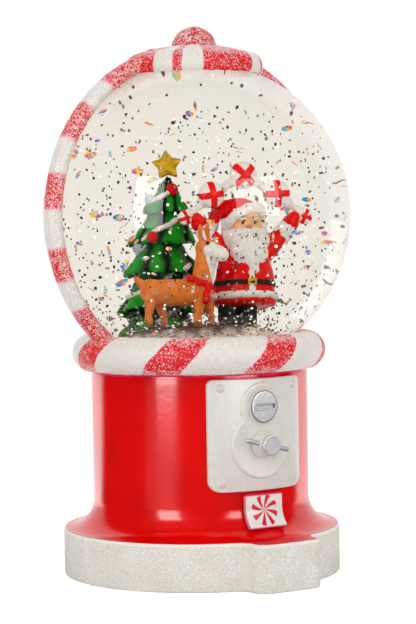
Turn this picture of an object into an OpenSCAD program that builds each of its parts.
// Candy-striped water globe in the shape of a gumball machine.
// Millimetres, +Z up. The origin is on the vertical axis, in the plane that the machine stands on.
// The coin plate, handle and flap face -Y. The candy arms stand at +X and -X.

/* [Globe] */
// Outer diameter of the glass globe
globe_d = 120; // [112:1:126]
// Thickness of the glass
glass_t = 2.5; // [1.5:0.1:3.5]
// Outer diameter of the globe's neck
neck_d = 72; // [70:0.5:74]
// How deep the neck sinks below the top deck of the pedestal
neck_depth = 2.2; // [1:0.1:4]

/* [Collar] */
// Thickness of the candy ring's tube
collar_tube_d = 14.4; // [13.6:0.2:16]
// Diameter of the candy ring, measured at the middle of its tube
collar_ring_d = 84.3; // [83:0.5:88]
// Height of tube that is cut away to seat the ring on the deck
collar_flat = 0.5; // [0.2:0.1:1.5]

/* [Pedestal] */
// Diameter of the pedestal's straight wall
pedestal_d = 84.2; // [83:0.2:87]
// Height of the top deck above the table
deck_z = 79.2; // [78.8:0.2:88]
// Thickness of the pedestal's wall, deck and globe seat
pedestal_wall = 2; // [1.5:0.1:2.2]
// Thickness of the foot flange that covers the plinth
flange_t = 1.5; // [1:0.1:2]
// Flat rim between the cove and the plinth's edge
rim_flat = 0.6; // [0.4:0.1:2]

/* [Plinth] */
// Diameter of the round plinth
plinth_d = 108; // [106:1:114]
// Height of the plinth, with the foot flange
plinth_h = 18; // [17.6:0.1:18.4]
// Thickness of the plinth's wall
plinth_wall = 2.4; // [1.6:0.1:2.6]
// Width of the tray tab at the front
tab_w = 29; // [24:0.5:34]
// How far the tray tab reaches beyond the round plinth
tab_reach = 9; // [6:0.5:12]
// Radius of the tray tab's corners
tab_corner_r = 6; // [4:0.5:8]
// Radius of the hollow between the tray tab and the round plinth
tab_fillet_r = 6; // [4:0.5:8]

/* [Underside] */
// Thickness of the bottom cover and the battery door
cover_t = 2.2; // [2:0.1:2.6]
// Distance of the cover screws from the plinth's inner wall
screw_inset = 6; // [5:0.1:7]
// Diameter of the posts that take the cover screws
post_d = 6; // [5:0.1:6.4]
// Diameter of one cell
cell_d = 10.5; // [10:0.1:10.8]
// Length of one cell
cell_l = 44.5; // [43:0.5:46]
// Distance of the battery box's middle behind the axis
battery_y = 21; // [20.5:0.1:22]
// Thickness of the battery box's walls
box_wall = 1.4; // [1:0.1:1.8]
// Length of a contact spring
spring_l = 3; // [2.5:0.1:3.5]
// Distance of the switch from the axis
switch_x = 36; // [34:0.5:38]
// Travel of the switch slider
switch_travel = 3; // [2:0.5:4]

/* [Coin plate] */
// Width of the coin plate
plate_w = 41; // [38:0.5:46]
// Height of the coin plate's lower edge
plate_z = 35.2; // [35:0.1:36.4]
// Height of the coin plate's upper edge
plate_top_z = 77.2; // [74.5:0.1:78]
// Thickness of the coin plate
plate_t = 1.2; // [0.8:0.1:1.6]
// Radius of the coin plate's corners
plate_corner_r = 3.5; // [2:0.25:4.5]
// Height of the keyhole relief above the plate
relief_t = 0.9; // [0.6:0.1:1.5]
// Radius of the relief round the coin disc
relief_top_r = 9.1; // [8:0.1:9.5]
// Radius of the relief round the handle
relief_low_r = 12.8; // [11:0.1:14]
// Height of the coin disc's middle
disc_z = 66.7; // [66.2:0.1:67]
// Diameter of the coin disc
disc_d = 12.2; // [10:0.1:13]
// How far the coin disc stands out of the relief
disc_t = 1.1; // [0.8:0.1:1.6]
// Diameter of a rivet head
rivet_d = 3.2; // [2.4:0.1:3.6]

/* [Handle] */
// Height of the handle's axis
handle_z = 52.4; // [51.5:0.1:53]
// Diameter of the white hub at its foot
hub_d = 9; // [8.4:0.1:10]
// Diameter of the button on the hub
button_d = 7.7; // [7:0.1:8.2]
// Thickness of the hub between the cross bar and the button
hub_cap = 0.6; // [0.4:0.1:1.2]
// Thickness of the button
button_t = 1.6; // [1.2:0.1:2.6]
// Length of the cross bar
bar_l = 20; // [16:0.5:24]
// Diameter of the cross bar
bar_d = 2; // [1.6:0.1:2.2]
// Tilt of the cross bar at rest, in degrees
bar_tilt = 14; // [0:1:30]
// Diameter of the handle's spindle
spindle_d = 4; // [3:0.1:4.6]

/* [Chute flap] */
// Width of the chute flap
flap_w = 16.6; // [14:0.2:20]
// Height of the flap's upper edge
flap_top_z = 34.1; // [33.8:0.1:34.4]
// How far the flap follows the cove, in degrees
flap_sweep = 49; // [40:1:56]
// Thickness of the flap
flap_t = 1.5; // [1.4:0.1:1.8]
// Diameter of the flap's pin
flap_pin_d = 0.6; // [0.5:0.05:0.7]

/* [Arms and lid] */
// Thickness of a candy arm, away from the glass
arm_t = 6; // [5:0.2:7]
// Width of a candy arm, along the glass
arm_w = 8; // [6.5:0.2:10]
// Outer diameter of the lid
lid_d = 53.4; // [50:0.2:56]
// Thickness of the lid's rolled rim
lid_rim_d = 11.2; // [10:0.2:12]
// Height of the rim's middle over the glass edge below it
lid_lift = 1; // [0.6:0.1:4]
// Rise of the lid's crown above its rim
lid_rise = 3.2; // [1.5:0.1:4]
// Diameter of the knob on the lid
knob_d = 17.5; // [15:0.1:19]
// How far the knob stands above the rim's top
knob_h = 10.4; // [8:0.1:12]

/* [Drive] */
// Diameter of the motor's can
motor_d = 24; // [20:0.5:26]
// Length of the motor's can
motor_l = 18; // [14:0.5:22]
// Diameter of the motor's shaft
shaft_d = 2; // [1.5:0.1:2.4]
// Diameter of the magnet carrier
carrier_d = 27; // [25:0.5:28]
// Diameter of a coupling magnet
magnet_d = 6; // [5:0.1:6.5]
// Diameter of the impeller
impeller_d = 28; // [26:0.5:31]
// Thickness of the circuit board
board_t = 1.6; // [1:0.1:2]
// Diameter of a lamp
led_d = 5; // [4:0.1:5.4]
// Height of the rubber plug inside the neck
plug_h = 9; // [8:0.5:10]

/* [Scene] */
// Height of the snowy ground above the plug
ground_h = 16.2; // [15:0.1:19]
// Gap between the ground and the bore of the neck
ground_edge = 2.5; // [1.5:0.1:4]
// Width of the slope round the top of the ground
ground_slope = 6.5; // [4:0.1:8]
// Height of the tree, without its star
tree_h = 46.8; // [40:0.2:48]
// Radius of the tree's lowest tier
tree_r = 13; // [11:0.2:14]
// Height of the old man in the red coat, up to the hat's bend
santa_h = 40.5; // [37:0.5:42]
// Distance from the middle of the coat to each raised hand
reach = 14.6; // [13:0.1:16]
// Length of the reindeer's body
deer_l = 24; // [21:0.5:25]
// Diameter of one candy in the garland
candy_d = 8; // [7:0.2:9]

/* [Fits] */
// Gap between neighbouring pieces
gap = 0.3; // [0.2:0.05:0.4]
// Radial clearance of pins and shafts that turn
run = 0.05; // [0.03:0.01:0.08]

// Film of glue between curved faces that meet
film = 0.04; // [0.02:0.01:0.08]

/* [Hidden] */
$fn = 96;
e = 0.01;           // small overlap that keeps a cut clean
far = 200;          // longer than any piece

globe_r = globe_d / 2;
neck_r = neck_d / 2;
bore_r = neck_r - glass_t;
tube_r = collar_tube_d / 2;
ring_r = collar_ring_d / 2;
ped_r = pedestal_d / 2;
plinth_r = plinth_d / 2;

collar_z = deck_z + tube_r - collar_flat;
globe_z = collar_z + sqrt(pow(globe_r + gap + tube_r, 2) - pow(ring_r, 2));
neck_z = deck_z - neck_depth;

// globe seat and stopper
stopper_flange = 2;
seat_z = neck_z - stopper_flange;
seat_r = neck_r + gap;
plug_z = neck_z + plug_h;
well_r = impeller_d / 2 + 3;
well_z = seat_z + 4;

// cove between the wall and the foot flange
cove_r = plinth_r - rim_flat - ped_r;
cove_z = plinth_h + cove_r;
flange_z = plinth_h - flange_t;

// underside
ledge_w = 2;
ledge_h = 2;
cover_inset = plinth_wall + gap;
cover_screw_r = plinth_r - plinth_wall - screw_inset;
screw_r = 1.3;
screw_l = 9;
screw_head_r = 2.5;
screw_head_h = 1.4;
cells = 3;
contact_t = 0.4;
wire_r = 0.35;
spring_turns = 4;
spring_r = 3.2;
spring_step = 0.12;  // how much smaller each turn of the cone spring is
box_in_l = cell_l + spring_l + 0.8;
box_in_w = cells * cell_d + 2 * gap;
box_top = cover_t + gap + cell_d + gap;
door_axis_y = battery_y - box_in_w / 2 + cover_t / 2 + gap;
door_pin_r = 0.65;
door_pin_l = 2;
door_screw_r = 1;
door_screw_y = battery_y + box_in_w / 2 + 2.2;
door_tongue_r = 3.2;
switch_l = 12;
switch_w = 7;
switch_h = 6;
slider_w = 2.6;
slider_l = 4;

// coin plate
plate_in_r = ped_r + film;
plate_r = plate_in_r + plate_t;
relief_r = plate_r + relief_t;
disc_seat = sqrt(pow(relief_r, 2) - pow(disc_d / 2, 2)) - film;  // flat pocket for the coin disc
rivet_angle = asin(plate_w / 2 / plate_r) - 6.2;
rivet_inset = 3.2;
rivet_shank_r = 0.8;
waist_r = 14;
slot_l = 8.7;
slot_w = 1.6;
slot_lip = 0.45;
slot_deep = 0.9;

// handle
hub_y = -relief_r - gap;
bar_y = -(relief_r + disc_t + gap + bar_d / 2);
hub_tip_y = bar_y - bar_d / 2 - hub_cap;
bush_wall = 1.2;
bush_r = spindle_d / 2 + run + bush_wall;
bush_in_y = -(ped_r - pedestal_wall) + 3;
clip_t = 1;

// flap
barrel_r = flap_t / 2;
flap_axis_y = -(ped_r + gap + barrel_r);
flap_axis_z = flap_top_z - barrel_r;
ear_w = 1.2;
ear_x = flap_w * 0.3;
ear_r = barrel_r - 0.12;

// arms and lid
arm_r = globe_r + gap + arm_t / 2;
lid_rim_r = lid_rim_d / 2;
lid_ring_r = lid_d / 2 - lid_rim_r;
lid_z = globe_z + sqrt(pow(globe_r + gap, 2) - pow(lid_ring_r, 2)) + lid_lift;
lid_top_z = lid_z + lid_rim_r;
crown_r = (pow(lid_ring_r, 2) + pow(lid_rise, 2)) / (2 * lid_rise);
crown_z = lid_top_z + lid_rise - crown_r;
knob_z = lid_top_z + knob_h - knob_d / 2;
peg_r = 2.5;
peg_l = 5;
arm_start = -atan2(globe_z - collar_z, ring_r);
arm_end = atan2(lid_z - globe_z, lid_ring_r);

// drive
rotor_gap = 0.6;
floor_z = seat_z - pedestal_wall;
magnet_t = 2.4;
magnet_ring_r = 8.5;
carrier_t = 4;
carrier_z = floor_z - rotor_gap - carrier_t;
motor_top_z = carrier_z - 2;
bracket_t = 2;
bracket_bite = 5;   // depth of the bracket screws in their posts
bracket_r = 34;
post_ring_r = 30;
drive_post_r = 2.6;
board_in_r = carrier_d / 2 + 1.5;
board_out_r = 26.5;
led_ring_r = 21;
led_h = 6;
leds_n = 3;
led_angle = 60;
pin_r = 1;
pin_l = 15;
impeller_z = well_z + gap;
impeller_t = 3;
blade_h = 7;
blade_t = 1.4;
blades = 4;
hub_r = 4;

// scene
ground_z = plug_z + ground_h;
ground_r = bore_r - ground_edge;
chamber_r = well_r + 6;
chamber_h = 11;
vents = 6;
vent_angle = 15;
vent_r = 1.5;
slope_h = ground_slope * 1.4;
tree_at = [-3, 12];
trunk_share = 0.06;    // share of the tree's height below its lowest tier
tiers = 5;
santa_at = [11.6, -7.4];
santa_turn = -13;
deer_at = [-13.7, -8.5];
deer_turn = -33;

// old man, from the ground up
hem_z = 10.6;
hem_r = 9.8;
coat_r = 8.4;
boot_r = 3.1;
shoulder_x = 5;
shoulder_z = santa_h * 0.59;
hand_z = santa_h * 0.85;
sleeve_r = 3.1;
cuff_r = 3;
mitten_r = 2.3;
head_r = 5.9;
head_z = santa_h * 0.82;
beard_r = 6.2;
beard_l = 13.5;         // from the middle of the head to the tip of the beard
hat_back = 28;
hat_lean = 12;
brim_r = 6.6;
tassel_r = 1.9;

// garland: x and height above the hands, and diameter, of each candy
candy_t = candy_d * 0.55;
twist_r = 1.3;
garland_points = [
  [-reach * 1.24, 1.4, candy_d * 0.55],
  [-reach * 0.68, 8, candy_d],
  [0, 13.6, candy_d],
  [reach * 0.68, 8, candy_d],
  [reach * 1.24, 1.4, candy_d * 0.55]
];

// reindeer
body_z = 12.2;
rump_r = 4.4;
chest_r = 4.2;
leg_r = 1.1;
stride = 2;            // how far the legs of one side stand before those of the other
neck_tilt = 6;
deer_neck_l = 13.8;
deer_head_r = 3.6;
muzzle_r = 2.8;
deer_ear_r = 1.3;
deer_tail_r = 1.3;
scarf_w = 2.4;

// ---------- shared shapes ----------

// Outline of the plinth with its tray tab, drawn in from the edge by inset.
module plinth_outline(inset = 0) {
  r = plinth_r - inset;
  half = tab_w / 2 - inset;
  front = plinth_r + tab_reach - inset;
  corner = tab_corner_r - inset;
  fillet = tab_fillet_r + inset;
  fx = half + fillet;
  fy = sqrt(pow(r + fillet, 2) - pow(fx, 2));
  touch = (r - 1) / (r + fillet);
  bite = 0.03;        // the hollow cuts this much deeper, so that its arc crosses its neighbours
  circle(r);
  translate([-half, -(front - corner)]) square([2 * half, front - corner]);
  translate([-(half - corner), -front]) square([2 * (half - corner), front]);
  for (s = [-1, 1]) {
    translate([s * (half - corner), -(front - corner)]) circle(corner);
    difference() {
      scale([s, 1]) polygon([[half - 1, -fy], [fx, -fy], [fx * touch, -fy * touch], [half / 2, -r * 0.9]]);
      translate([s * fx, -fy]) circle(fillet + bite);
    }
  }
}

// Copies the children round the Z axis at radius r.
module around(n, r, from = 0) {
  for (i = [0 : n - 1]) rotate([0, 0, from + i * 360 / n]) translate([r, 0, 0]) children();
}

// Puts the children on the wall's -Y side, with their Z pointing outward.
module facing_front(z) {
  translate([0, 0, z]) rotate([90, 0, 0]) children();
}

// A block whose front outline is the child shape, cut to the ring between two radii.
module on_wall(r_in, r_out) {
  intersection() {
    difference() {
      cylinder(r = r_out, h = far, center = true);
      cylinder(r = r_in, h = far + 2, center = true);
    }
    rotate([90, 0, 0]) linear_extrude(far) children();
  }
}

// Rounded rectangle from its lower edge z0 to its upper edge z1.
module rounded_plate(w, z0, z1, r) {
  translate([-w / 2 + r, z0]) square([w - 2 * r, z1 - z0]);
  translate([-w / 2, z0 + r]) square([w, z1 - z0 - 2 * r]);
  for (s = [-1, 1], z = [z0 + r, z1 - r]) translate([s * (w / 2 - r), z]) circle(r);
}

// ---------- plinth and pedestal ----------

module plinth() {
  color("ivory") difference() {
    linear_extrude(flange_z) plinth_outline();
    translate([0, 0, cover_t + ledge_h]) linear_extrude(far) plinth_outline(plinth_wall);
    translate([0, 0, -e]) linear_extrude(far) plinth_outline(plinth_wall + ledge_w);
    translate([0, 0, -e]) linear_extrude(cover_t + e) plinth_outline(plinth_wall);
  }
}

// Half section of the pedestal's shell, with the cove and the globe seat.
module pedestal_section() {
  in_r = ped_r - pedestal_wall;
  difference() {
    intersection() {
      translate([in_r, flange_z]) square([cove_r + pedestal_wall, cove_z - flange_z]);
      translate([ped_r + cove_r, cove_z]) circle(cove_r + pedestal_wall);
    }
    translate([ped_r + cove_r, cove_z]) circle(cove_r);
  }
  translate([in_r, cove_z]) square([pedestal_wall, deck_z - cove_z]);
  translate([seat_r, deck_z - pedestal_wall]) square([ped_r - seat_r, pedestal_wall]);
  translate([seat_r, floor_z]) square([pedestal_wall, deck_z - floor_z]);
  translate([0, floor_z]) square([seat_r + pedestal_wall, pedestal_wall]);
}

module pedestal() {
  color("crimson") difference() {
    union() {
      rotate_extrude() pedestal_section();
      translate([0, 0, flange_z]) linear_extrude(flange_t) difference() {
        plinth_outline();
        circle(ped_r + cove_r / 2);
      }
      around(4, cover_screw_r, 45) translate([0, 0, cover_t])
        cylinder(d = post_d, h = plinth_h - cover_t + 0.4);
      around(3, post_ring_r) translate([0, 0, motor_top_z])
        cylinder(r = drive_post_r, h = floor_z - motor_top_z + e);
      facing_front(flap_axis_z) for (s = [-1, 1])
        translate([s * ear_x - ear_w / 2, 0, 0]) flap_ear();
    }
    around(4, cover_screw_r, 45) translate([0, 0, cover_t - e]) cylinder(r = screw_r, h = 8, $fn = 32);
    around(3, post_ring_r) translate([0, 0, motor_top_z - e])
      cylinder(r = screw_r, h = bracket_bite + 1, $fn = 32);
    around(leds_n, led_ring_r, led_angle) translate([0, 0, floor_z - 1])
      cylinder(d = led_d + 2 * gap, h = pedestal_wall + 2, $fn = 48);
    facing_front(handle_z) cylinder(r = bush_r + run, h = far);
    rivet_places() cylinder(r = rivet_shank_r + run, h = far, $fn = 32);
    translate([-flap_w, flap_axis_y, flap_axis_z]) rotate([0, 90, 0])
      cylinder(d = flap_pin_d, h = 2 * flap_w, $fn = 32);
  }
}

// An ear that holds the flap's pin, seen from the front with its back in the wall.
module flap_ear() {
  reach_y = -flap_axis_y;
  translate([0, -ear_r, ped_r - pedestal_wall / 2])
    cube([ear_w, 2 * ear_r, reach_y - ped_r + pedestal_wall / 2]);
  translate([0, 0, reach_y]) rotate([0, 90, 0]) cylinder(r = ear_r, h = ear_w, $fn = 48);
}

// ---------- underside ----------

module bottom_cover() {
  door_l = box_in_l;
  color("white") difference() {
    linear_extrude(cover_t) plinth_outline(cover_inset);
    translate([-door_l / 2, battery_y - box_in_w / 2, -e]) cube([door_l, box_in_w, cover_t + 1]);
    translate([0, door_screw_y, -e]) cylinder(r = door_tongue_r, h = cover_t + 1);
    translate([-door_l / 2 - door_pin_l - gap, door_axis_y, cover_t / 2]) rotate([0, 90, 0])
      cylinder(r = door_pin_r + run, h = door_l + 2 * door_pin_l + 2 * gap, $fn = 32);
    around(4, cover_screw_r, 45) {
      translate([0, 0, -e]) cylinder(r = screw_r + run, h = cover_t + 1, $fn = 32);
      translate([0, 0, -e]) cylinder(r = screw_head_r + gap, h = screw_head_h + gap + e, $fn = 48);
    }
    translate([switch_x - slider_w / 2 - gap, -slider_l / 2 - gap, -e])
      cube([slider_w + 2 * gap, slider_l + switch_travel + 2 * gap, cover_t + 1]);
  }
}

module cover_screws() {
  color("silver") around(4, cover_screw_r, 45) {
    translate([0, 0, gap]) cylinder(r = screw_head_r, h = screw_head_h, $fn = 48);
    translate([0, 0, gap]) cylinder(r = screw_r, h = screw_l, $fn = 32);
  }
}

module battery_box() {
  l = box_in_l + 2 * box_wall;
  w = box_in_w + 2 * box_wall;
  color("dimgray") difference() {
    union() {
      translate([-l / 2, battery_y - w / 2, cover_t]) cube([l, w, box_top + box_wall - cover_t]);
      translate([0, door_screw_y, cover_t]) cylinder(r = door_tongue_r, h = 6);
    }
    translate([-box_in_l / 2, battery_y - box_in_w / 2, cover_t - 1])
      cube([box_in_l, box_in_w, box_top - cover_t + 1]);
    translate([0, door_screw_y, cover_t - 1]) cylinder(r = door_screw_r + 0.6, h = 6, $fn = 32);
  }
}

// Puts the children at each cell's middle, with their Z along the cell.
module each_cell() {
  for (i = [0 : cells - 1])
    translate([0, battery_y + (i - (cells - 1) / 2) * cell_d, cover_t + gap + cell_d / 2])
      rotate([0, i % 2 == 0 ? 90 : -90, 0]) children();
}

module battery_cells() {
  slack = 0.04;
  color("goldenrod") each_cell() translate([0, 0, -cell_l / 2 + spring_l / 2]) {
    cylinder(d = cell_d - slack, h = cell_l - 1.2);
    cylinder(d = cell_d * 0.34, h = cell_l, $fn = 32);
  }
}

// A cone spring and the plate behind it at each cell's flat end.
module battery_springs() {
  start = -box_in_l / 2;
  color("silver") each_cell() {
    translate([-cell_d * 0.35, -cell_d * 0.35, start])
      cube([cell_d * 0.7, cell_d * 0.7, contact_t]);
    for (i = [0 : spring_turns - 1]) translate([0, 0, start + contact_t + wire_r + i * wire_r * 2])
      rotate_extrude($fn = 48) translate([spring_r - i * spring_step, 0]) circle(wire_r, $fn = 16);
  }
}

module battery_door() {
  l = box_in_l - 2 * gap;
  y0 = door_axis_y;
  y1 = battery_y + box_in_w / 2 - gap;
  color("white") difference() {
    union() {
      translate([-l / 2, y0, 0]) cube([l, y1 - y0, cover_t]);
      translate([-l / 2, y0, cover_t / 2]) rotate([0, 90, 0]) cylinder(d = cover_t, h = l);
      translate([-l / 2 - door_pin_l, y0, cover_t / 2]) rotate([0, 90, 0])
        cylinder(r = door_pin_r, h = l + 2 * door_pin_l, $fn = 32);
      translate([0, door_screw_y, 0]) cylinder(r = door_tongue_r - gap, h = cover_t);
    }
    translate([0, door_screw_y, -e]) cylinder(r = door_screw_r, h = far, $fn = 32);
    translate([0, door_screw_y, -e]) cylinder(r = door_screw_r * 2, h = 1.2 + e, $fn = 48);
  }
}

module door_screw() {
  color("silver") translate([0, door_screw_y, 0.2]) {
    cylinder(r = door_screw_r * 2, h = 1, $fn = 48);
    cylinder(r = door_screw_r, h = 5.5, $fn = 32);
  }
}

module switch_body() {
  color("dimgray") translate([switch_x, switch_travel / 2, cover_t]) difference() {
    translate([-switch_w / 2, -switch_l / 2, 0]) cube([switch_w, switch_l, switch_h]);
    translate([-slider_w / 2 - gap, -(slider_l + switch_travel) / 2 - gap, -e])
      cube([slider_w + 2 * gap, slider_l + switch_travel + 2 * gap, 3]);
  }
}

module switch_slider() {
  color("black") translate([switch_x - slider_w / 2, -slider_l / 2, 0.5])
    cube([slider_w, slider_l, cover_t + 3 - gap - 0.5]);
}

// ---------- coin plate and handle ----------

module relief_outline() {
  drop = disc_z - handle_z;
  neck_half = relief_top_r * 0.92;
  translate([0, disc_z]) circle(relief_top_r);
  translate([0, handle_z]) circle(relief_low_r);
  translate([-neck_half, handle_z]) square([2 * neck_half, drop]);
}

module coin_plate() {
  color("ivory") difference() {
    union() {
      on_wall(plate_in_r, plate_r) rounded_plate(plate_w, plate_z, plate_top_z, plate_corner_r);
      on_wall(plate_r - e, relief_r) relief_outline();
    }
    facing_front(disc_z) translate([0, 0, disc_seat]) cylinder(d = disc_d + 2 * run, h = far);
    facing_front(handle_z) cylinder(r = bush_r + run, h = far);
    rivet_places() cylinder(r = rivet_shank_r + run, h = far, $fn = 32);
  }
}

// Puts the children at each rivet, with their Z pointing out of the wall.
module rivet_places() {
  for (s = [-1, 1], z = [plate_z + rivet_inset, plate_top_z - rivet_inset])
    translate([0, 0, z]) rotate([0, 0, s * rivet_angle]) rotate([90, 0, 0])
      translate([0, 0, ped_r - pedestal_wall - 1]) children();
}

module plate_rivets() {
  r = rivet_d / 2;
  rise = 0.7;
  ball = (r * r + rise * rise) / (2 * rise);
  seat = plate_t + film + pedestal_wall + 1;
  color("ivory") rivet_places() {
    intersection() {
      translate([0, 0, seat + rise - ball]) sphere(ball, $fn = 48);
      translate([0, 0, seat + e]) cylinder(r = r, h = 2);
    }
    translate([0, 0, 0.6]) cylinder(r = rivet_shank_r, h = seat - 0.5, $fn = 32);
  }
}

module coin_disc() {
  face = relief_r + disc_t;
  color("silver") difference() {
    union() {
      facing_front(disc_z) translate([0, 0, disc_seat]) cylinder(d = disc_d, h = face - disc_seat);
      facing_front(disc_z) translate([-slot_l / 2 - slot_lip, -slot_w / 2 - slot_lip, face - slot_lip])
        cube([slot_l + 2 * slot_lip, slot_w + 2 * slot_lip, 2 * slot_lip]);
    }
    facing_front(disc_z) translate([-slot_l / 2, -slot_w / 2, face - slot_deep])
      cube([slot_l, slot_w, slot_deep + 1]);
  }
}

module handle_bush() {
  color("white") facing_front(handle_z) difference() {
    translate([0, 0, -bush_in_y]) cylinder(r = bush_r, h = relief_r + bush_in_y);
    translate([0, 0, -bush_in_y - 1]) cylinder(d = spindle_d + 2 * run, h = far);
  }
}

module handle_spindle() {
  back = -bush_in_y - clip_t - 2 * gap;
  color("silver") facing_front(handle_z) difference() {
    translate([0, 0, back]) cylinder(d = spindle_d, h = -hub_tip_y - back);
    translate([0, 0, -bar_y]) rotate([0, 0, -bar_tilt]) rotate([0, 90, 0])
      cylinder(d = bar_d, h = far, center = true, $fn = 48);
  }
}

module spindle_clip() {
  color("silver") facing_front(handle_z) translate([0, 0, -bush_in_y - clip_t - gap]) difference() {
    cylinder(r = bush_r, h = clip_t);
    translate([0, 0, -1]) cylinder(d = spindle_d, h = clip_t + 2);
  }
}

module handle_hub() {
  color("white") facing_front(handle_z) difference() {
    translate([0, 0, -hub_y]) cylinder(d1 = hub_d, d2 = button_d + 0.5, h = hub_y - hub_tip_y);
    cylinder(d = spindle_d, h = far);
    translate([0, 0, -bar_y]) rotate([0, 0, -bar_tilt]) rotate([0, 90, 0])
      cylinder(d = bar_d, h = far, center = true, $fn = 48);
  }
}

module handle_bar() {
  color("silver") facing_front(handle_z) translate([0, 0, -bar_y]) rotate([0, 0, -bar_tilt])
    rotate([0, 90, 0]) {
      cylinder(d = bar_d, h = bar_l - bar_d, center = true, $fn = 48);
      for (s = [-1, 1]) translate([0, 0, s * (bar_l - bar_d) / 2]) sphere(d = bar_d, $fn = 48);
    }
}

module handle_button() {
  edge = 0.5;
  color("silver") facing_front(handle_z) translate([0, 0, -hub_tip_y]) {
    cylinder(d = button_d, h = button_t - edge);
    translate([0, 0, button_t - edge]) cylinder(d1 = button_d, d2 = button_d - 2 * edge, h = edge);
  }
}

// ---------- chute flap ----------

// Side section of the flap: x is the distance in front of the axis, y is the height.
// It hangs straight from its barrel, then follows the cove down to its lower edge.
module flap_section() {
  back_r = cove_r - gap;
  reach_r = 2 * cove_r;
  translate([-flap_axis_y, flap_axis_z]) circle(barrel_r, $fn = 48);
  translate([ped_r + gap, cove_z]) square([flap_t, flap_axis_z - cove_z]);
  translate([ped_r + cove_r, cove_z]) intersection() {
    difference() {
      circle(back_r);
      circle(back_r - flap_t);
    }
    polygon([[0, 0], [-reach_r, 0], [-reach_r, -reach_r * tan(flap_sweep)]]);
  }
}

module chute_flap() {
  slot = ear_w + 2 * gap;
  color("ivory") difference() {
    translate([flap_w / 2, 0, 0]) rotate([90, 0, -90]) linear_extrude(flap_w) flap_section();
    for (s = [-1, 1]) translate([s * ear_x - slot / 2, flap_axis_y - 4, flap_axis_z - ear_r - gap - 0.1])
      cube([slot, 8, 8]);
    translate([-flap_w, flap_axis_y, flap_axis_z]) rotate([0, 90, 0])
      cylinder(d = flap_pin_d + 2 * run, h = 2 * flap_w, $fn = 32);
  }
}

module flap_pin() {
  color("silver") translate([-flap_w / 2 + 0.5, flap_axis_y, flap_axis_z]) rotate([0, 90, 0])
    cylinder(d = flap_pin_d, h = flap_w - 1, $fn = 32);
}

// ---------- collar, arms and lid ----------

module collar_tube(grow = 0) {
  translate([0, 0, collar_z]) rotate_extrude() translate([ring_r, 0]) circle(tube_r + grow);
}

module candy_collar() {
  color("tomato") difference() {
    collar_tube();
    translate([0, 0, deck_z - far]) cylinder(r = far, h = far);
    cylinder(r = neck_r + gap, h = far);
    translate([0, 0, globe_z]) sphere(globe_r + gap, $fn = 160);
  }
}

module lid_body(grow = 0) {
  translate([0, 0, lid_z]) rotate_extrude() translate([lid_ring_r, 0]) circle(lid_rim_r + grow);
  translate([0, 0, lid_z - lid_rim_r]) cylinder(r = lid_ring_r, h = 2 * lid_rim_r);
  intersection() {
    translate([0, 0, crown_z]) sphere(crown_r, $fn = 160);
    translate([0, 0, lid_z]) cylinder(r = lid_ring_r, h = far);
  }
}

module lid() {
  color("tomato") difference() {
    lid_body();
    translate([0, 0, globe_z]) sphere(globe_r + gap, $fn = 160);
    translate([0, 0, lid_top_z + lid_rise - peg_l]) cylinder(r = peg_r, h = far, $fn = 48);
  }
}

module lid_knob() {
  color("crimson") difference() {
    union() {
      translate([0, 0, knob_z]) sphere(d = knob_d);
      translate([0, 0, lid_top_z + lid_rise - peg_l]) cylinder(r = peg_r, h = peg_l + 2, $fn = 48);
    }
    difference() {
      translate([0, 0, crown_z]) sphere(crown_r, $fn = 160);
      translate([0, 0, lid_top_z + lid_rise - peg_l]) cylinder(r = peg_r, h = far, $fn = 48);
    }
  }
}

// A bent candy arm that follows the glass on the +X side.
module candy_arm() {
  straight = arm_w - arm_t;
  difference() {
    translate([0, 0, globe_z]) rotate([90, 0, 0]) rotate([0, 0, arm_start])
      rotate_extrude(angle = arm_end - arm_start, $fn = 160) translate([arm_r, 0]) {
        for (s = [-1, 1]) translate([0, s * straight / 2]) circle(d = arm_t, $fn = 64);
        translate([-arm_t / 2, -straight / 2]) square([arm_t, straight]);
      }
    collar_tube(film);
    lid_body(film);
  }
}

module left_arm() {
  color("tomato") mirror([1, 0, 0]) candy_arm();
}

module right_arm() {
  color("tomato") candy_arm();
}

// ---------- globe, stopper and impeller ----------

module globe() {
  color("lightcyan", 0.4) difference() {
    union() {
      translate([0, 0, globe_z]) sphere(globe_r, $fn = 160);
      translate([0, 0, neck_z]) cylinder(r = neck_r, h = globe_z - globe_r * 0.7 - neck_z);
    }
    translate([0, 0, globe_z]) sphere(globe_r - glass_t, $fn = 160);
    translate([0, 0, neck_z - far]) cylinder(r = bore_r, h = far + globe_z - globe_r * 0.6 - neck_z);
    translate([0, 0, neck_z - far]) cylinder(r = far, h = far);
  }
}

module neck_stopper() {
  color("white") difference() {
    union() {
      translate([0, 0, seat_z]) cylinder(r = neck_r, h = stopper_flange);
      translate([0, 0, seat_z]) cylinder(r = bore_r - 0.05, h = plug_z - seat_z);
    }
    translate([0, 0, well_z]) cylinder(r = well_r, h = far);
    translate([0, 0, seat_z + 1.2]) cylinder(r = pin_r, h = far, $fn = 32);
    around(leds_n, led_ring_r, led_angle) translate([0, 0, seat_z - 1])
      cylinder(d = led_d + 2 * gap, h = led_h, $fn = 48);
  }
}

module impeller_pin() {
  color("silver") translate([0, 0, seat_z + 1.2]) cylinder(r = pin_r, h = pin_l, $fn = 32);
}

// Puts the children at the two magnet pockets.
module magnet_places() {
  around(2, magnet_ring_r) children();
}

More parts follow.
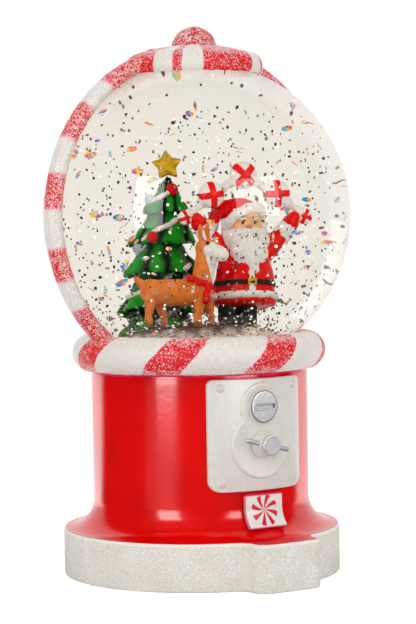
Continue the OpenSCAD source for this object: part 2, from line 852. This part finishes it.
module impeller() {
  color("white") translate([0, 0, impeller_z]) difference() {
    union() {
      cylinder(d = impeller_d, h = impeller_t);
      cylinder(r = hub_r, h = impeller_t + blade_h);
      for (i = [0 : blades - 1]) rotate([0, 0, 45 + i * 360 / blades])
        translate([hub_r / 2, -blade_t / 2, impeller_t / 2])
          cube([impeller_d / 2 - hub_r / 2 - 1, blade_t, impeller_t / 2 + blade_h - 1]);
    }
    translate([0, 0, -1]) cylinder(r = pin_r + run, h = far, $fn = 32);
    magnet_places() translate([0, 0, -e]) cylinder(d = magnet_d, h = magnet_t + e, $fn = 48);
  }
}

module impeller_magnets() {
  color("gray") translate([0, 0, impeller_z]) magnet_places()
    cylinder(d = magnet_d, h = magnet_t, $fn = 48);
}

// ---------- motor and lamps ----------

module motor() {
  boss_r = 4;
  color("silver") difference() {
    union() {
      translate([0, 0, motor_top_z - bracket_t - motor_l]) cylinder(d = motor_d, h = motor_l);
      translate([0, 0, motor_top_z - bracket_t - e]) cylinder(r = boss_r, h = bracket_t + e);
    }
    translate([0, 0, motor_top_z - motor_l]) cylinder(d = shaft_d + 2 * run, h = far, $fn = 32);
  }
}

module motor_shaft() {
  color("silver") translate([0, 0, motor_top_z - motor_l + 1])
    cylinder(d = shaft_d, h = carrier_z + carrier_t - 1 - (motor_top_z - motor_l + 1), $fn = 32);
}

module magnet_carrier() {
  color("black") translate([0, 0, carrier_z]) difference() {
    union() {
      cylinder(d = carrier_d, h = carrier_t);
      translate([0, 0, -1.2]) cylinder(r = 4, h = 2);
    }
    translate([0, 0, -2]) cylinder(d = shaft_d, h = carrier_t + 1, $fn = 32);
    magnet_places() translate([0, 0, carrier_t - magnet_t]) cylinder(d = magnet_d, h = far, $fn = 48);
  }
}

module drive_magnets() {
  color("gray") translate([0, 0, carrier_z + carrier_t - magnet_t]) magnet_places()
    cylinder(d = magnet_d, h = magnet_t, $fn = 48);
}

module motor_bracket() {
  boss_r = 4;
  leg_w = 10;
  color("gainsboro") difference() {
    translate([0, 0, motor_top_z - bracket_t]) intersection() {
      cylinder(r = bracket_r, h = bracket_t);
      union() {
        cylinder(d = motor_d + 6, h = bracket_t);
        for (i = [0 : 2]) rotate([0, 0, i * 120]) translate([0, -leg_w / 2, 0])
          cube([far, leg_w, bracket_t]);
      }
    }
    cylinder(r = boss_r, h = far, $fn = 48);
    around(3, post_ring_r) cylinder(r = screw_r, h = far, $fn = 32);
  }
}

module bracket_screws() {
  color("silver") around(3, post_ring_r) translate([0, 0, motor_top_z - bracket_t]) {
    translate([0, 0, -screw_head_h]) cylinder(r = screw_head_r, h = screw_head_h, $fn = 48);
    cylinder(r = screw_r, h = bracket_t + bracket_bite, $fn = 32);
  }
}

module circuit_board() {
  color("darkgreen") translate([0, 0, floor_z - board_t]) difference() {
    cylinder(r = board_out_r, h = board_t);
    translate([0, 0, -1]) cylinder(r = board_in_r, h = far);
  }
}

module lamps() {
  color("lightyellow") around(leds_n, led_ring_r, led_angle) translate([0, 0, floor_z]) {
    cylinder(d = led_d, h = led_h - led_d / 2 - gap, $fn = 48);
    translate([0, 0, led_h - led_d / 2 - gap]) sphere(d = led_d, $fn = 48);
  }
}

// ---------- scene in the water ----------

module scene_ground() {
  color("saddlebrown") difference() {
    union() {
      translate([0, 0, plug_z]) cylinder(r = ground_r, h = ground_h - slope_h);
      translate([0, 0, ground_z - slope_h])
        cylinder(r1 = ground_r, r2 = ground_r - ground_slope, h = slope_h);
    }
    translate([0, 0, plug_z - e]) cylinder(r = chamber_r, h = chamber_h);
    around(vents, chamber_r - 2.5, vent_angle) translate([0, 0, plug_z])
      cylinder(r = vent_r, h = far, $fn = 32);
  }
}

module tree() {
  trunk_h = tree_h * trunk_share;
  tier_h = (tree_h - trunk_h) / (tiers * 0.62 + 0.38);
  color("darkgreen") translate([tree_at[0], tree_at[1], ground_z]) {
    cylinder(r = 2, h = trunk_h + 2, $fn = 48);
    for (i = [0 : tiers - 1]) {
      r = tree_r * (1 - i * 0.155);
      translate([0, 0, trunk_h + i * tier_h * 0.62]) cylinder(r1 = r, r2 = r * 0.25, h = tier_h);
    }
    translate([0, 0, tree_h - 3]) cylinder(r = 0.8, h = 3, $fn = 32);
  }
}

module tree_star() {
  tip = 4.6;
  valley = 2;
  points = [for (i = [0 : 9]) let (r = i % 2 == 0 ? tip : valley) [r * sin(i * 36), r * cos(i * 36)]];
  color("gold") translate([tree_at[0], tree_at[1] + 0.8, ground_z + tree_h + tip * cos(36)])
    rotate([90, 0, 0]) linear_extrude(1.6) polygon(points);
}

// One raised arm with its cuff and mitten, on side s.
module santa_arm(s) {
  dx = reach - shoulder_x;
  dz = hand_z - shoulder_z;
  len = sqrt(dx * dx + dz * dz);
  translate([s * shoulder_x, 0, shoulder_z]) rotate([0, s * atan2(dx, dz), 0]) {
    sphere(sleeve_r, $fn = 48);
    cylinder(r1 = sleeve_r, r2 = sleeve_r * 0.75, h = len - cuff_r, $fn = 48);
    translate([0, 0, len - mitten_r * 2]) cylinder(r = cuff_r, h = cuff_r * 0.75, $fn = 48);
    translate([0, 0, len - mitten_r * 0.4]) sphere(mitten_r, $fn = 48);
  }
}

// Boots, coat with its hem, head with beard, and a hat that droops to the side.
module santa() {
  color("red") translate([santa_at[0], santa_at[1], ground_z]) rotate([0, 0, santa_turn]) {
    for (s = [-1, 1]) translate([s * boot_r * 1.15, 0, 0]) {
      cylinder(r = boot_r, h = hem_z + 1, $fn = 48);
      translate([0, -boot_r * 0.7, 0]) cylinder(r = boot_r * 0.9, h = boot_r, $fn = 48);
    }
    translate([0, 0, hem_z]) cylinder(r1 = hem_r, r2 = coat_r, h = coat_r * 0.85);
    translate([0, 0, hem_z + coat_r * 0.85]) cylinder(r1 = coat_r, r2 = coat_r * 0.55, h = coat_r * 1.4);
    translate([0, 0, hem_z + coat_r * 1.05]) sphere(coat_r);
    translate([0, -head_r * 0.45, head_z - head_r * 0.9]) sphere(beard_r);
    translate([0, -head_r * 0.8, head_z - beard_l])
      cylinder(r1 = beard_r * 0.25, r2 = beard_r * 0.75, h = beard_l * 0.55, $fn = 64);
    translate([0, -head_r * 0.1, head_z]) {
      sphere(head_r);
      rotate([-hat_back, -hat_lean, 0]) translate([0, 0, head_r * 0.3]) {
        cylinder(r = brim_r, h = brim_r * 0.4);
        cylinder(r1 = head_r * 0.95, r2 = tassel_r, h = santa_h - head_z - tassel_r);
      }
    }
    translate([0, head_r * 0.5, santa_h - tassel_r]) rotate([0, -115, 0])
      cylinder(r1 = tassel_r, r2 = tassel_r * 0.8, h = head_r * 1.3, $fn = 48);
    translate([-head_r * 1.25, head_r * 0.5, santa_h - tassel_r * 2.6]) sphere(tassel_r, $fn = 48);
    for (s = [-1, 1]) santa_arm(s);
  }
}

// A round rod between two points of the XZ plane.
module rod(p, q, r) {
  d = q - p;
  translate([p[0], 0, p[1]]) rotate([0, atan2(d[0], d[1]), 0]) cylinder(r = r, h = norm(d), $fn = 32);
}

// Three wrapped candies on a string over the hat, and half a candy at each end.
module candy_garland() {
  color("white") translate([santa_at[0], santa_at[1], ground_z + hand_z]) rotate([0, 0, santa_turn]) {
    for (p = garland_points) translate([p[0], candy_t / 2, p[1]]) rotate([90, 0, 0])
      cylinder(d = p[2], h = candy_t);
    for (i = [0 : len(garland_points) - 2]) {
      p = garland_points[i];
      q = garland_points[i + 1];
      rod([p[0], p[1]], [q[0], q[1]], twist_r);
    }
  }
}

module reindeer() {
  half = deer_l / 2;
  color("peru") translate([deer_at[0], deer_at[1], ground_z]) rotate([0, 0, deer_turn]) {
    translate([-half + rump_r, 0, body_z]) rotate([0, 90, 0])
      cylinder(r1 = rump_r, r2 = chest_r, h = deer_l - rump_r - chest_r);
    translate([-half + rump_r, 0, body_z]) sphere(rump_r, $fn = 64);
    translate([half - chest_r, 0, body_z]) sphere(chest_r, $fn = 64);
    for (x = [-half + rump_r * 0.6 + stride, half - chest_r * 0.5 - stride], s = [-1, 1])
      translate([x + s * stride, s * rump_r * 0.55, 0])
        cylinder(r1 = leg_r, r2 = leg_r * 1.4, h = body_z, $fn = 48);
    translate([half - chest_r, 0, body_z]) rotate([0, neck_tilt, 0])
      cylinder(r1 = chest_r * 0.85, r2 = muzzle_r, h = deer_neck_l, $fn = 48);
    translate([half - chest_r + deer_neck_l * sin(neck_tilt), 0, body_z + deer_neck_l * cos(neck_tilt)]) {
      sphere(deer_head_r, $fn = 64);
      rotate([0, 108, 0]) cylinder(r1 = muzzle_r, r2 = muzzle_r * 0.7, h = deer_head_r * 1.7, $fn = 48);
      for (s = [-1, 1]) translate([-0.2, s * deer_head_r * 0.5, deer_head_r * 0.5]) rotate([s * -14, -4, 0])
        cylinder(r1 = deer_ear_r, r2 = deer_ear_r * 0.5, h = deer_head_r * 1.7, $fn = 32);
    }
    translate([-half + 0.6, 0, body_z + rump_r * 0.8]) sphere(deer_tail_r, $fn = 32);
  }
}

module reindeer_scarf() {
  half = deer_l / 2;
  color("red") difference() {
    translate([deer_at[0], deer_at[1], ground_z]) rotate([0, 0, deer_turn])
      translate([half - chest_r, 0, body_z]) rotate([0, neck_tilt, 0]) translate([0, 0, chest_r * 1.25])
        cylinder(r = chest_r * 0.95, h = scarf_w, $fn = 48);
    reindeer();
  }
}

plinth();
pedestal();
bottom_cover();
cover_screws();
battery_box();
battery_cells();
battery_springs();
battery_door();
door_screw();
switch_body();
switch_slider();
coin_plate();
plate_rivets();
coin_disc();
handle_bush();
handle_spindle();
spindle_clip();
handle_hub();
handle_bar();
handle_button();
chute_flap();
flap_pin();
candy_collar();
globe();
left_arm();
right_arm();
lid();
lid_knob();
neck_stopper();
impeller();
impeller_pin();
impeller_magnets();
motor();
motor_shaft();
magnet_carrier();
drive_magnets();
motor_bracket();
bracket_screws();
circuit_board();
lamps();
scene_ground();
tree();
tree_star();
santa();
candy_garland();
reindeer();
reindeer_scarf();
